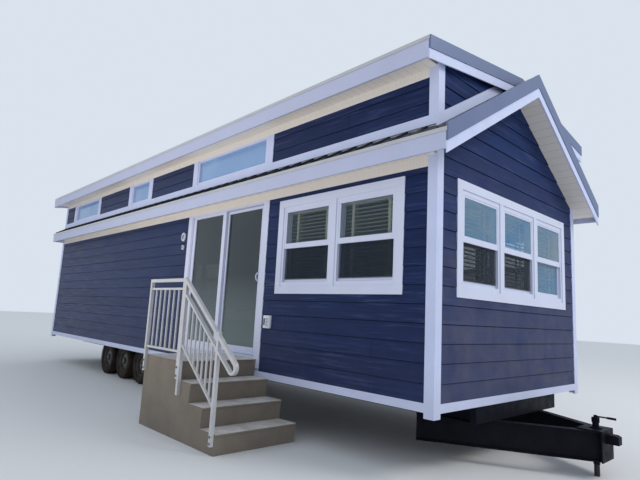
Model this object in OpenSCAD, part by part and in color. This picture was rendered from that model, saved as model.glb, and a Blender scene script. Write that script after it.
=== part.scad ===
// Tiny house on wheels: a park model house on a three-axle chassis, with its hitch, entry steps and rails.
// House coordinates: x = 0 at the front wall's trim and minus towards the rear, y = 0 at the door
// side's trim, z = 0 on the ground. Every piece is moved once by the same step, so that the part's
// origin is the middle of its footprint. Millimetres.

/* [Body] */
// Length of the body over the trim of its end walls
body_l = 11050; // [10900:10:12500]
// Width of the body over the trim of its side walls
body_w = 3400; // [3350:10:3600]
// Thickness of the outer walls
wall_t = 115; // [100:1:125]
// Thickness of the floor deck
deck_t = 140; // [100:5:150]
// Thickness of the trim boards, which stand proud of the walls
trim_t = 22; // [18:1:28]
// Height of the white band's lower edge above the ground
band_z = 600; // [595:1:640]
// Height of the white band round the floor
band_h = 80; // [70:1:100]
// Thickness of the rim joist behind the band
rim_t = 40; // [30:1:60]
// Width of a corner board on each face
corner_w = 105; // [80:1:130]
// How far the corner boards hang below the band
corner_drop = 48; // [20:1:60]

/* [Roofs] */
// Overhang of all eaves beyond the side walls
eave = 235; // [200:1:260]
// Height of the lower roof's edge
low_z = 3065; // [3050:1:3100]
// Rise of the steep front gable for each unit of run
low_pitch = 0.62; // [0.58:0.01:0.64]
// Height of the lower fascia board
low_fascia_h = 185; // [160:1:200]
// Height of the main roof's edge
up_z = 3990; // [3980:1:4060]
// Rise of the main roof for each unit of run
up_pitch = 0.16; // [0.14:0.005:0.18]
// Height of the main roof's fascia board
up_fascia_h = 190; // [160:1:200]
// Thickness of the main roof's deck, measured upright
roof_t = 100; // [80:1:120]
// Thickness of fascia and rake boards
board_t = 22; // [18:1:28]
// Overhang of the steep gable beyond the front wall
gable_over = 255; // [220:1:320]
// Overhang of the main roof beyond the front wall
front_over = 60; // [50:1:100]
// Overhang of the main roof beyond the rear wall
rear_over = 285; // [200:1:350]
// Thickness of the roofing sheet
sheet_t = 8; // [6:1:12]
// Height of a rib of the roofing sheet
rib_h = 20; // [12:1:30]
// Spacing of the ribs
rib_pitch = 229; // [180:1:420]

/* [Windows and door] */
// Width of the casing round the windows
casing_w = 90; // [70:1:100]
// Height of the windows' sill above the ground
sill_z = 1721; // [1680:1:1760]
// Height of the window openings
win_h = 979; // [900:1:1000]
// Distance from the far corner to each side of the front window's opening
front_win_y = 450; // [400:1:500]
// Distance of the side window's opening behind the front wall
side_win_x = 460; // [300:1:500]
// Width of the side window's opening
side_win_w = 1755; // [1600:1:1900]
// Width of the casing beside the sliding door
door_casing_w = 110; // [90:1:130]
// Distance of the door's opening behind the front wall
door_x = 2635; // [2600:1:2680]
// Width of the door's opening
door_w = 1860; // [1840:1:1880]
// Height of the door's opening above the deck
door_h = 2020; // [2000:1:2025]
// Distance of the wide high window behind the front wall
big_win_x = 2665; // [2660:1:2700]
// Width of the wide high window
big_win_w = 1800; // [1700:1:1810]
// Distance of the short high window behind the front wall
mid_win_x = 6240; // [6000:1:6400]
// Width of the short high window
mid_win_w = 760; // [600:1:900]
// Distance of the rear high window from the rear wall's trim
rear_win_end = 790; // [700:1:850]
// Width of the rear high window
rear_win_w = 1450; // [1300:1:1500]
// Width of the boards between the high windows and the siding
high_post_w = 140; // [100:1:150]
// Travel of the sliding door panel
door_travel = 760; // [600:1:760]

/* [Chassis] */
// Distance of the main beams' middle from the side trim
beam_y = 800; // [760:1:900]
// Width of the beams' flanges
flange_w = 100; // [80:1:110]
// Height of the drawbar's lower edge above the ground
drawbar_z = 160; // [140:1:180]
// Height of the drawbar's upper edge and the main beams' lower edge
beam_z = 435; // [430:1:450]
// Reach of the hitch coupler beyond the front wall
hitch_reach = 952; // [940:1:1000]
// Distance of the tongue jack from the front wall
jack_x = 740; // [720:1:745]
// Radius of the tyres
tyre_r = 330; // [320:1:332]
// Width of the tyres
tyre_w = 210; // [180:1:220]
// Distance of the front axle behind the front wall
axle_x = 6400; // [6200:10:6600]
// Spacing of the axles
axle_pitch = 790; // [750:5:850]
// Distance of the tyres' outer side from the side trim
wheel_y = 250; // [200:1:260]

/* [Entry steps] */
// Distance of the lowest riser behind the front wall
steps_x = 1770; // [1700:1:1800]
// Length of the platform
platform_l = 870; // [800:1:880]
// Depth of a tread
tread = 270; // [240:1:280]
// Width of the steps, out from the house
steps_w = 1030; // [900:1:1100]
// Side of the square rail tubes
tube = 38; // [30:1:45]
// Height of the platform rail's top above the platform
rail_h = 910; // [850:1:950]

/* [Hidden] */

// Small overlap of cutting tools beyond the faces that they cut
e = 1;
// Running clearance of sliding and turning pieces
run = 5;
// Gap between a moving piece and the piece that carries it
seat = 0.3;

wall_y = trim_t;                        // outer face of the walls, behind the trim
inner_y = wall_y + wall_t;              // inner face of the walls
deck_z = band_z + band_h;               // underside of the floor deck
floor_z = deck_z + deck_t;              // top of the floor
mid_y = body_w / 2;                     // the ridge and the hitch lie on this line
rear_x = -body_l;
door_top = floor_z + door_h;
fascia_bottom = low_z - low_fascia_h;
soffit_t = 12;
low_soffit_z = fascia_bottom + 65;      // underside of the level lower soffit
frieze_h = low_soffit_z - door_top;     // cream board between siding and soffit
up_soffit_z = up_z - up_fascia_h + 32;  // underside of the main roof's soffit
high_top = up_soffit_z - 92;            // top of the high windows
high_base = 3246;                       // lower edge of the high windows' sill board
high_sill_h = 99;
high_bottom = high_base + high_sill_h;
rear_win_x = body_l - rear_win_end - rear_win_w;
slope_drop = 225;                       // depth of the steep gable's boxed overhang, upright
rake_top = 50;                          // the grey rake stands this far over the roof plane
rake_grey = 167;
rake_white = 112;
up_edge_top = 26;                       // the main roof's edge trim stands this far over its deck
up_rake_grey = 134;
up_rake_white = 98;
low_sheet_up = sheet_t / cos(atan(low_pitch)); // upright thickness of the steep roof's sheet
over_low_roof = low_sheet_up + 0.5;     // what is scribed to the steep roof starts this far above its deck
up_soffit_drop = up_z + up_pitch * board_t - up_soffit_z;
origin_x = (hitch_reach - body_l - rear_over) / 2;
steps_out = steps_w + tube;
origin_y = (body_w + eave - steps_out) / 2;

// Height of the steep roof's plane over a point y of the width
function low_roof(y) = low_z + low_pitch * ((y <= mid_y ? y : body_w - y) + eave);
// Height of the main roof's deck over a point y of the width
function up_roof(y) = up_z + up_pitch * ((y <= mid_y ? y : body_w - y) + eave);

module at_origin() translate([-origin_x, -origin_y, 0]) children();

// A shape repeated on the far side, as its mirror image
module both_sides() {
    children();
    translate([0, body_w, 0]) mirror([0, 1, 0]) children();
}

// Extrudes an outline drawn in y and z from x0 to x1
module along_x(x0, x1) translate([x0, 0, 0]) rotate([90, 0, 90]) linear_extrude(x1 - x0) children();

// Extrudes an outline drawn in x and z from y0 to y1
module along_y(y0, y1) translate([0, y1, 0]) rotate([90, 0, 0]) linear_extrude(y1 - y0) children();

// A box between two corners
module block(a, b) translate(a) cube(b - a);

// Everything under the steep roof's plane, in front of the wall
module under_low_roof(x0, x1, lift) along_x(x0, x1)
    polygon([[-eave - e, 0], [-eave - e, low_roof(-eave - e) + lift], [mid_y, low_roof(mid_y) + lift],
        [body_w + eave + e, low_roof(-eave - e) + lift], [body_w + eave + e, 0]]);

// A band that follows a roof plane over the whole width, from top to bottom measured upright
module steep_band(x0, x1, top, bottom) along_x(x0, x1)
    polygon([[-eave, low_roof(-eave) + top], [mid_y, low_roof(mid_y) + top],
        [body_w + eave, low_roof(-eave) + top], [body_w + eave, low_roof(-eave) + bottom],
        [mid_y, low_roof(mid_y) + bottom], [-eave, low_roof(-eave) + bottom]]);
module flat_band(x0, x1, y0, top, bottom) along_x(x0, x1)
    polygon([[y0, up_roof(y0) + top], [mid_y, up_roof(mid_y) + top], [body_w - y0, up_roof(y0) + top],
        [body_w - y0, up_roof(y0) + bottom], [mid_y, up_roof(mid_y) + bottom], [y0, up_roof(y0) + bottom]]);

// Chassis

web_t = 8;
beam_flange_t = 12;
header_t = 65;
header_gap = 15;

module i_section(w, h, flange_t) {
    translate([-w / 2, 0]) square([w, flange_t]);
    translate([-w / 2, h - flange_t]) square([w, flange_t]);
    translate([-web_t / 2, 0]) square([web_t, h]);
}

module main_beams() color("#17181a") at_origin() {
    for (y = [beam_y, body_w - beam_y])
        along_x(rear_x + trim_t + rim_t, -header_gap - header_t)
            translate([y, beam_z]) i_section(flange_w, deck_z - beam_z, beam_flange_t);
    block([-header_gap - header_t, beam_y - flange_w / 2, beam_z],
        [-header_gap, body_w - beam_y + flange_w / 2, band_z]);
}

member_t = 50;
member_top = deck_z - 15;
member_bottom = beam_z + 80;
member_first = 900;
member_pitch = 1180;
member_count = floor((body_l - member_first - 300) / member_pitch) + 1;
bay_front = axle_x - tyre_r - 120;
bay_rear = axle_x + 2 * axle_pitch + tyre_r + 120;
module cross_members() color("#1b1c1e") at_origin() for (i = [0:member_count - 1]) {
    d = member_first + i * member_pitch;
    block([-d - member_t, beam_y + web_t / 2, member_bottom],
        [-d, body_w - beam_y - web_t / 2, member_top]);
    if (d + member_t < bay_front || d > bay_rear)
        both_sides() along_x(-d - member_t, -d)
            polygon([[trim_t + rim_t, band_z], [trim_t + rim_t, member_top],
                [beam_y - web_t / 2, member_top], [beam_y - web_t / 2, beam_z + 30]]);
}

apex_half = 100;
apex_x = 770;
plate_t = 12;
plate_x = hitch_reach - 107;
drawbar_flange = 90;
drawbar_slope = atan(0.56);
drawbar_l = 1700;
apex_clear = 45;
module drawbar() color("#101113") at_origin() {
    difference() {
        both_sides() translate([apex_x, mid_y - apex_half, 0]) rotate([0, 0, drawbar_slope])
            along_x(-drawbar_l, 200)
                translate([0, drawbar_z]) i_section(drawbar_flange, beam_z - drawbar_z, beam_flange_t);
        block([plate_x - plate_t, -e, 0], [hitch_reach + 500, body_w + e, 1000]);
        both_sides() block([apex_x - 300, mid_y, 0], [plate_x, mid_y + apex_clear, 1000]);
    }
    block([plate_x - plate_t, mid_y - 160, drawbar_z], [plate_x, mid_y + 160, beam_z]);
    difference() {
        block([plate_x - 230, mid_y - 160, beam_z], [plate_x, mid_y + 160, beam_z + plate_t]);
        translate([jack_x, mid_y, beam_z - e]) cylinder(d = jack_d + 1, h = plate_t + 2 * e, $fn = 48);
    }
}

ball_d = 59;
coupler_h = 85;
coupler_w = 96;
coupler_z = 325;
module coupler() color("#121315") at_origin() difference() {
    along_y(mid_y - coupler_w / 2, mid_y + coupler_w / 2)
        polygon([[plate_x, coupler_z], [hitch_reach, coupler_z], [hitch_reach, coupler_z + coupler_h - 14],
            [hitch_reach - 30, coupler_z + coupler_h], [plate_x, coupler_z + coupler_h]]);
    translate([hitch_reach - 48, mid_y, coupler_z - e]) cylinder(d = ball_d, h = 46 + e, $fn = 48);
}

jack_d = 60;
jack_wall = 4;
jack_bottom = 110;
jack_top = 500;
head_h = 45;
module jack_tube() color("#141517") at_origin() translate([jack_x, mid_y, 0]) {
    difference() {
        union() {
            translate([0, 0, jack_bottom]) cylinder(d = jack_d, h = jack_top - jack_bottom, $fn = 48);
            translate([0, 0, beam_z + plate_t]) cylinder(d = 108, h = 10, $fn = 48);
        }
        translate([0, 0, jack_bottom - e])
            cylinder(d = jack_d - 2 * jack_wall, h = jack_top - jack_bottom + 2 * e, $fn = 48);
    }
    translate([0, 0, jack_top]) cylinder(d = 72, h = head_h, $fn = 48);
}

leg_d = 50.6;
module jack_leg() color("#2a2b2d") at_origin() translate([jack_x, mid_y, 0]) {
    difference() {
        cylinder(d = leg_d, h = 380, $fn = 48);
        translate([0, 0, 12]) cylinder(d = leg_d - 8, h = 380, $fn = 48);
    }
}

crank_r = 181;
module jack_crank() color("#1a1a1c") at_origin() translate([jack_x, mid_y, jack_top + head_h + 0.3]) {
    cylinder(d = 34, h = 22, $fn = 40);
    translate([0, 0, 11]) rotate([0, 90, 0]) cylinder(d = 14, h = crank_r - 4, $fn = 32);
    translate([crank_r - 78, 0, 11]) rotate([0, 90, 0]) cylinder(d = 22, h = 78, $fn = 32);
}

// Running gear

axle_d = 76;
spindle_d = 40;
hub_depth = 110;
module axles() color("#1d1e20") at_origin() for (i = [0:2])
    translate([-axle_x - i * axle_pitch, 0, tyre_r]) rotate([-90, 0, 0]) {
        translate([0, 0, wheel_y + tyre_w + 12])
            cylinder(d = axle_d, h = body_w - 2 * (wheel_y + tyre_w + 12), $fn = 48);
        translate([0, 0, wheel_y + 102])
            cylinder(d = spindle_d, h = body_w - 2 * (wheel_y + 102), $fn = 40);
    }

leaf_w = 50;
leaf_t = 8;
leaf_half = 330;
leaf_rise = 42;
leaf_r = (leaf_half * leaf_half + leaf_rise * leaf_rise) / (2 * leaf_rise);
eye_d = 36;
spring_top = tyre_r - axle_d / 2;
eye_z = spring_top + leaf_rise;
hanger_w = 2 * (axle_pitch / 2 - leaf_half) + 70;
leaf_a = asin(leaf_half / leaf_r);
leaf_steps = 24;
function leaf_depth(a) = abs(a) < 0.46 * leaf_a ? 3 * leaf_t : abs(a) < 0.74 * leaf_a ? 2 * leaf_t : leaf_t;
// Side view of one pack of three leaves with its eyes, in x and height, its middle at x = 0
module leaf_pack() {
    angles = [for (i = [0:leaf_steps]) -leaf_a + i * 2 * leaf_a / leaf_steps];
    polygon(concat([for (a = angles) [leaf_r * sin(a), leaf_r + spring_top - leaf_r * cos(a)]],
        [for (i = [leaf_steps:-1:1], d = [leaf_depth(angles[i] - leaf_a / leaf_steps)], a = [angles[i], angles[i - 1]])
            [(leaf_r + d) * sin(a), leaf_r + spring_top - (leaf_r + d) * cos(a)]]));
    for (s = [-1, 1]) translate([s * leaf_half, eye_z]) circle(d = eye_d, $fn = 40);
}
module leaf_springs() color("#202123") at_origin() both_sides() {
    for (i = [0:2]) translate([-axle_x - i * axle_pitch, 0, 0])
        along_y(beam_y - leaf_w / 2, beam_y + leaf_w / 2) leaf_pack();
    for (i = [0:3]) for (s = [-1, 1])
        block([-axle_x + axle_pitch * (0.5 - i) - hanger_w / 2, beam_y + (s > 0 ? leaf_w / 2 : -leaf_w / 2 - 10), eye_z - 30],
            [-axle_x + axle_pitch * (0.5 - i) + hanger_w / 2, beam_y + (s > 0 ? leaf_w / 2 + 10 : -leaf_w / 2), beam_z]);
}

rim_r = 190;
hub_r = 62;
// Half-section of a wheel: radius across, distance from the outer side up
module wheel_section() {
    difference() {
        hull() {
            translate([tyre_r - 18, 32]) circle(18, $fn = 32);
            translate([tyre_r - 18, tyre_w - 32]) circle(18, $fn = 32);
            translate([tyre_r - 60, 20]) circle(20, $fn = 32);
            translate([tyre_r - 60, tyre_w - 20]) circle(20, $fn = 32);
            translate([rim_r, 24]) square([20, tyre_w - 48]);
        }
        translate([0, -e]) square([rim_r, tyre_w + 2 * e]);
    }
    translate([rim_r - 12, 16]) square([12, tyre_w - 32]);
    translate([hub_r - e, 62]) square([rim_r - hub_r - 10, 12]);
}
module wheel(i) color("#4a3d30") translate([-axle_x - i * axle_pitch, wheel_y, tyre_r])
    rotate([-90, 0, 0]) difference() {
        union() {
            rotate_extrude($fn = 96) wheel_section();
            translate([0, 0, 40]) cylinder(r = hub_r, h = tyre_w - 40, $fn = 64);
            translate([0, 0, 22]) cylinder(r = 36, h = 20, $fn = 48);
        }
        translate([0, 0, 100]) cylinder(d = spindle_d + 0.6, h = tyre_w, $fn = 48);
    }
module wheel_door_1() at_origin() wheel(0);
module wheel_door_2() at_origin() wheel(1);
module wheel_door_3() at_origin() wheel(2);
module far_side() translate([0, body_w, 0]) mirror([0, 1, 0]) children();
module wheel_far_1() at_origin() far_side() wheel(0);
module wheel_far_2() at_origin() far_side() wheel(1);
module wheel_far_3() at_origin() far_side() wheel(2);

// Floor and walls

module floor_deck() color("#a8794b") at_origin()
    block([rear_x + wall_y, wall_y, deck_z], [-wall_y, body_w - wall_y, floor_z]);

// The laid floor of the room, with an expansion gap along the walls
laid_t = 12;
laid_gap = 10;
module room_floor() color("#b58a58") at_origin()
    block([rear_x + inner_y + laid_gap, inner_y + laid_gap, floor_z],
        [-inner_y - laid_gap, body_w - inner_y - laid_gap, floor_z + laid_t]);

// The white band stops against the corner boards, which run down past it
module bottom_band() color("#e9e7f0") at_origin() difference() {
    block([rear_x, 0, band_z], [0, body_w, deck_z]);
    block([rear_x + trim_t + rim_t, trim_t + rim_t, band_z - e],
        [-trim_t - rim_t, body_w - trim_t - rim_t, deck_z + e]);
    both_sides() {
        corner_angle(band_z - e, deck_z + e, e);
        rear_end() corner_angle(band_z - e, deck_z + e, e);
    }
}

// Outline of an end wall, up to the main roof's deck
module end_outline() polygon([[wall_y, floor_z], [body_w - wall_y, floor_z],
    [body_w - wall_y, up_roof(wall_y) - roof_t], [mid_y, up_roof(mid_y) - roof_t],
    [wall_y, up_roof(wall_y) - roof_t]]);

module front_wall() color("#2b3760") at_origin() difference() {
    along_x(-inner_y, -wall_y) end_outline();
    block([-inner_y - e, front_win_y, sill_z], [e, body_w - front_win_y, sill_z + win_h]);
}

rear_opening_y = mid_y - side_win_w / 2;
module rear_wall() color("#2b3760") at_origin() difference() {
    along_x(rear_x + wall_y, rear_x + inner_y) end_outline();
    block([rear_x - e, rear_opening_y, sill_z], [rear_x + inner_y + e, body_w - rear_opening_y, sill_z + win_h]);
}

// A stretch of side wall from x0 to x1, standing on the floor or over the door
module side_wall(x0, x1, z0) along_x(x0, x1)
    polygon([[wall_y, z0], [inner_y, z0], [inner_y, up_roof(inner_y) - roof_t],
        [wall_y, up_roof(wall_y) - roof_t]]);
module high_opening(x, w) block([-x - w, -e, high_bottom], [-x, inner_y + e, high_top]);
module side_opening() block([-side_win_x - side_win_w, -e, sill_z], [-side_win_x, inner_y + e, sill_z + win_h]);

module door_wall_front() color("#2b3760") at_origin() difference() {
    side_wall(-door_x, -inner_y, floor_z);
    side_opening();
    high_opening(big_win_x, big_win_w);
}
module door_wall_rear() color("#2b3760") at_origin() difference() {
    side_wall(rear_x + inner_y, -door_x - door_w, floor_z);
    high_opening(big_win_x, big_win_w);
    high_opening(mid_win_x, mid_win_w);
    high_opening(rear_win_x, rear_win_w);
}
module wall_over_door() color("#2b3760") at_origin() difference() {
    side_wall(-door_x - door_w, -door_x, door_top);
    high_opening(big_win_x, big_win_w);
}
far_second_x = body_l - side_win_x - side_win_w;
module far_wall() color("#2b3760") at_origin() far_side() difference() {
    side_wall(rear_x + inner_y, -inner_y, floor_z);
    side_opening();
    translate([side_win_x - far_second_x, 0, 0]) side_opening();
    high_opening(big_win_x, big_win_w);
    high_opening(mid_win_x, mid_win_w);
    high_opening(rear_win_x, rear_win_w);
}

// White corner boards: two faces of each corner, below the eaves and again above them
module corner_angle(z0, z1, over = 0) difference() {
    block([-corner_w, -over, z0], [over, corner_w, z1]);
    block([-corner_w - e, wall_y, z0 - e], [-wall_y, corner_w + e, z1 + e]);
}
module rear_end() translate([rear_x, 0, 0]) mirror([1, 0, 0]) children();
corner_base = band_z - corner_drop;
corner_top = up_roof(0) - roof_t;
module corner_boards() color("#e9e7f0") at_origin() both_sides() {
    difference() {
        union() {
            corner_angle(corner_base, low_soffit_z);
            block([-wall_y, 0, low_soffit_z], [0, corner_w, low_roof(corner_w) - slope_drop]);
        }
        along_x(-wall_y - e, e) polygon([[-e, low_roof(-e) - slope_drop], [-e, up_z],
            [corner_w + e, up_z], [corner_w + e, low_roof(corner_w + e) - slope_drop]]);
    }
    difference() {
        union() {
            corner_angle(high_base, corner_top);
            block([-wall_y, 0, low_z], [0, corner_w, high_base]);
        }
        under_low_roof(-wall_y - e, e, over_low_roof);
    }
    rear_end() corner_angle(corner_base, low_soffit_z);
    rear_end() block([-trim_t, 0, low_soffit_z], [0, corner_w, high_base]);
    rear_end() corner_angle(high_base, corner_top);
}

// Windows

mull_w = 75;        // board and post between two units of one window
frame_w = 48;       // head and sill of the frame
frame_side = 34;
frame_in = 10;
frame_d = 90;
sash_w = 44;        // rails of the sashes
stile_w = 26;
pane_side = frame_side + stile_w;
upper_sash_y = 14;
lower_sash_y = 40;
meeting_z = win_h / 2;
meeting_h = 62;
glass_t = 6;
upper_pane_y = 20;
lower_pane_y = 52;

// One single-hung window unit of width w in the x-z plane, its outer side towards -y. The upper
// sash stands in front, down to the meeting rail, and the lower one is set back behind its screen
module hung_unit(w) difference() {
    block([0, frame_in, 0], [w, frame_in + frame_d, win_h]);
    block([frame_side, 0, meeting_z - meeting_h / 2], [w - frame_side, upper_sash_y, win_h - frame_w]);
    block([frame_side, 0, frame_w], [w - frame_side, lower_sash_y, meeting_z - meeting_h / 2]);
    block([pane_side, -e, meeting_z + meeting_h / 2],
        [w - pane_side, inner_y, win_h - frame_w - sash_w / 2]);
    block([pane_side, -e, frame_w + sash_w], [w - pane_side, inner_y, meeting_z - meeting_h / 2]);
}
module hung_panes(w) {
    block([pane_side, upper_pane_y, meeting_z + meeting_h / 2],
        [w - pane_side, upper_pane_y + glass_t, win_h - frame_w - sash_w / 2]);
    block([pane_side, lower_pane_y, frame_w + sash_w],
        [w - pane_side, lower_pane_y + glass_t, meeting_z - meeting_h / 2]);
}

// Insect screen over the lower sash: a slim frame that lies on the sash, with its mesh between
screen_t = 10;
screen_lap = 12;
screen_bar = 16;
mesh_in = 4;
mesh_t = 1.5;
module screen(w) {
    x = pane_side - screen_lap;
    z0 = frame_w + sash_w - screen_lap;
    z1 = meeting_z - meeting_h / 2;
    y = lower_sash_y - screen_t;
    difference() {
        block([x, y, z0], [w - x, lower_sash_y, z1]);
        block([x + screen_bar, y - e, z0 + screen_bar], [w - x - screen_bar, y + mesh_in, z1 - screen_bar]);
        block([x + screen_bar, y + mesh_in + mesh_t, z0 + screen_bar],
            [w - x - screen_bar, lower_sash_y + e, z1 - screen_bar]);
    }
}

// Slatted blind hung in the head of an opening w wide, from height top down to height bottom:
// head rail, open slats, bottom rail, and two ladder tapes in front of and behind the slats
blind_y = frame_in + frame_d + 4;
blind_side = 12;
head_rail_h = 80;
slat_d = 50;
slat_t = 3;
slat_pitch = 43;
foot_rail_h = 16;
tape_w = 38;
tape_t = 1.5;
tape_in = 0.2;      // share of the width from each end to a tape
module blind_bar(w, z0, z1) block([blind_side, blind_y, z0], [w - blind_side, blind_y + slat_d + 2 * tape_t, z1]);
module blind(w, bottom, top) {
    rows = floor((top - head_rail_h - bottom - foot_rail_h) / slat_pitch) - 1;
    blind_bar(w, top - head_rail_h, top);
    blind_bar(w, bottom, bottom + foot_rail_h);
    for (i = [1:rows]) translate([0, 0, bottom + foot_rail_h + i * slat_pitch])
        block([blind_side, blind_y + tape_t, 0], [w - blind_side, blind_y + tape_t + slat_d, slat_t]);
    for (x = [w * tape_in, w * (1 - tape_in)]) for (y = [blind_y, blind_y + tape_t + slat_d])
        block([x - tape_w / 2, y, bottom + foot_rail_h], [x + tape_w / 2, y + tape_t, top - head_rail_h]);
}

// Casing boards round a window opening of width w
module casing(w) difference() {
    block([-casing_w, 0, -casing_w], [w + casing_w, trim_t, win_h + casing_w]);
    block([0, -e, 0], [w, trim_t + e, win_h]);
}

// Repeats its children for each unit of a window w wide; $unit is the number and $unit_w the width
function unit_x(w, units, i) = round(i * (w + mull_w) / units);
module each_unit(w, units) for (i = [0:units - 1]) {
    $unit = i;
    $unit_w = unit_x(w, units, i + 1) - unit_x(w, units, i) - mull_w;
    translate([unit_x(w, units, i), 0, 0]) children();
}
module window(w, units) {
    casing(w);
    each_unit(w, units) {
        hung_unit($unit_w);
        if ($unit > 0) block([-mull_w, 0, 0], [0, frame_in + frame_d, win_h]);
    }
}
module panes(w, units) each_unit(w, units) hung_panes($unit_w);
module screens(w, units, count) each_unit(w, units) if ($unit < count) screen($unit_w);
module blinds(w, units) each_unit(w, units) blind($unit_w, blind_side, win_h);

front_win_w = body_w - 2 * front_win_y;
module at_front() translate([0, front_win_y, sill_z]) rotate([0, 0, 90]) children();
module at_side() translate([-side_win_x - side_win_w, 0, sill_z]) children();
module at_rear() translate([rear_x, body_w - rear_opening_y, sill_z]) rotate([0, 0, -90]) children();
module at_far_second() translate([side_win_x - far_second_x, 0, 0]) at_side() children();

module front_window() color("#f0eef5") at_origin() at_front() window(front_win_w, 3);
module side_window() color("#f0eef5") at_origin() at_side() window(side_win_w, 2);
module rear_window() color("#f0eef5") at_origin() at_rear() window(side_win_w, 2);
module far_windows() color("#f0eef5") at_origin() far_side() {
    at_side() window(side_win_w, 2);
    at_far_second() window(side_win_w, 2);
}
module window_glass() color("#7f93a6") at_origin() {
    at_front() panes(front_win_w, 3);
    at_side() panes(side_win_w, 2);
    at_rear() panes(side_win_w, 2);
    far_side() {
        at_side() panes(side_win_w, 2);
        at_far_second() panes(side_win_w, 2);
    }
}

module window_screens() color("#2b2f33") at_origin() {
    at_front() screens(front_win_w, 3, 2);
    at_side() screens(side_win_w, 2, 2);
    at_rear() screens(side_win_w, 2, 2);
    far_side() {
        at_side() screens(side_win_w, 2, 2);
        at_far_second() screens(side_win_w, 2, 2);
    }
}
// The door's blind is drawn up into a stack under its head rail
door_stack_h = 170;
module window_blinds() color("#a9aba0") at_origin() {
    at_front() blinds(front_win_w, 3);
    at_side() blinds(side_win_w, 2);
    translate([-door_x - door_w + jamb, 0, 0])
        blind_bar(door_w - 2 * jamb, door_top - head - head_rail_h - door_stack_h, door_top - head);
}

// High windows under the main roof, with their sill board and posts
high_frame = 34;
high_pane_y = 40;
high_windows = [[big_win_x, big_win_w], [mid_win_x, mid_win_w], [rear_win_x, rear_win_w]];
module side_high_trim() {
    block([rear_x + corner_w, 0, high_base], [-corner_w, trim_t, high_bottom]);
    for (n = high_windows) {
        block([-n[0], 0, high_bottom], [-n[0] + high_post_w, trim_t, high_top]);
        block([-n[0] - n[1] - high_post_w, 0, high_bottom], [-n[0] - n[1], trim_t, high_top]);
        difference() {
            block([-n[0] - n[1], frame_in, high_bottom], [-n[0], frame_in + frame_d, high_top]);
            block([-n[0] - n[1] + high_frame, 0, high_bottom + high_frame],
                [-n[0] - high_frame, inner_y, high_top - high_frame]);
        }
    }
}
module side_high_glass() for (n = high_windows)
    block([-n[0] - n[1] + high_frame, high_pane_y, high_bottom + high_frame],
        [-n[0] - high_frame, high_pane_y + glass_t, high_top - high_frame]);
// Sloping board at the foot of the front wall's siding, above the steep roof
slope_board_h = 116;
module slope_board() intersection() {
    along_x(-wall_y, 0) polygon([[corner_w, low_roof(corner_w) + over_low_roof],
        [mid_y, low_roof(mid_y) + over_low_roof], [mid_y, low_roof(mid_y) + over_low_roof + slope_board_h],
        [corner_w, low_roof(corner_w) + over_low_roof + slope_board_h]]);
    along_x(-wall_y - e, e) polygon([[0, floor_z], [0, up_roof(0) - up_soffit_drop],
        [mid_y, up_roof(mid_y) - up_soffit_drop], [mid_y, floor_z]]);
}
module high_trim() color("#e9e7f0") at_origin() both_sides() {
    side_high_trim();
    slope_board();
}
module high_glass() color("#86a9c9") at_origin() both_sides() side_high_glass();

// Sliding door

jamb = 20;
head = 25;
panel_t = 34;
fixed_y = 24;
slide_y = fixed_y + panel_t + run;
fixed_l = door_w / 2 - jamb + 5;
slide_l = door_w / 2 - jamb + 45;
fixed_stile = 75;
slide_stile = 90;
bottom_rail = 90;
top_rail = 38;
panel_bottom = floor_z + head + run;
panel_top = door_top - head - run;
slide_right = -door_x - jamb - run;
fixed_left = -door_x - door_w + jamb;

module door_frame() color("#efedf2") at_origin() {
    difference() {
        block([-door_x - door_w, 8, floor_z], [-door_x, inner_y, door_top]);
        block([-door_x - door_w + jamb, 0, floor_z + head], [-door_x - jamb, inner_y + e, door_top - head]);
    }
    block([-door_x - door_w + jamb, slide_y + (panel_t - track_w) / 2, floor_z + head],
        [-door_x - jamb, slide_y + (panel_t + track_w) / 2, panel_bottom - seat]);
    for (x = [-door_x, -door_x - door_w - door_casing_w])
        block([x, 0, deck_z + 30], [x + door_casing_w, trim_t, door_top]);
}
module panel(x0, l, y0, z0, z1, left, right) difference() {
    block([x0, y0, z0], [x0 + l, y0 + panel_t, z1]);
    block([x0 + left, y0 - e, z0 + bottom_rail], [x0 + l - right, y0 + panel_t + e, z1 - top_rail]);
}
module pane(x0, l, y0, z0, z1, left, right)
    block([x0 + left, y0 + panel_t / 2 - glass_t / 2, z0 + bottom_rail],
        [x0 + l - right, y0 + panel_t / 2 + glass_t / 2, z1 - top_rail]);

module fixed_door_panel() color("#efedf2") at_origin()
    panel(fixed_left, fixed_l, fixed_y, floor_z + head, door_top - head, fixed_stile, 80);
module fixed_door_glass() color("#5d6d70") at_origin()
    pane(fixed_left, fixed_l, fixed_y, floor_z + head, door_top - head, fixed_stile, 80);
track_w = 10;
handle_z = floor_z + 1016;
handle_l = 240;
module sliding_door_panel() color("#efedf2") at_origin() {
    panel(slide_right - slide_l, slide_l, slide_y, panel_bottom, panel_top, slide_stile, slide_stile);
    translate([slide_right - slide_stile / 2, slide_y, handle_z]) for (s = [-1, 1])
        translate([0, 0, s * (handle_l / 2 - 12)]) rotate([90, 0, 0]) cylinder(d = 16, h = 34, $fn = 32);
    translate([slide_right - slide_stile / 2 - 10, slide_y - 46, handle_z - handle_l / 2])
        cube([20, 14, handle_l]);
}
module sliding_door_glass() color("#5d6d70") at_origin()
    pane(slide_right - slide_l, slide_l, slide_y, panel_bottom, panel_top, slide_stile, slide_stile);

// Lower roofs: the narrow roof along each side and the steep gable in front share one plane

rib_w = 26;
rib_top_w = 12;
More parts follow.
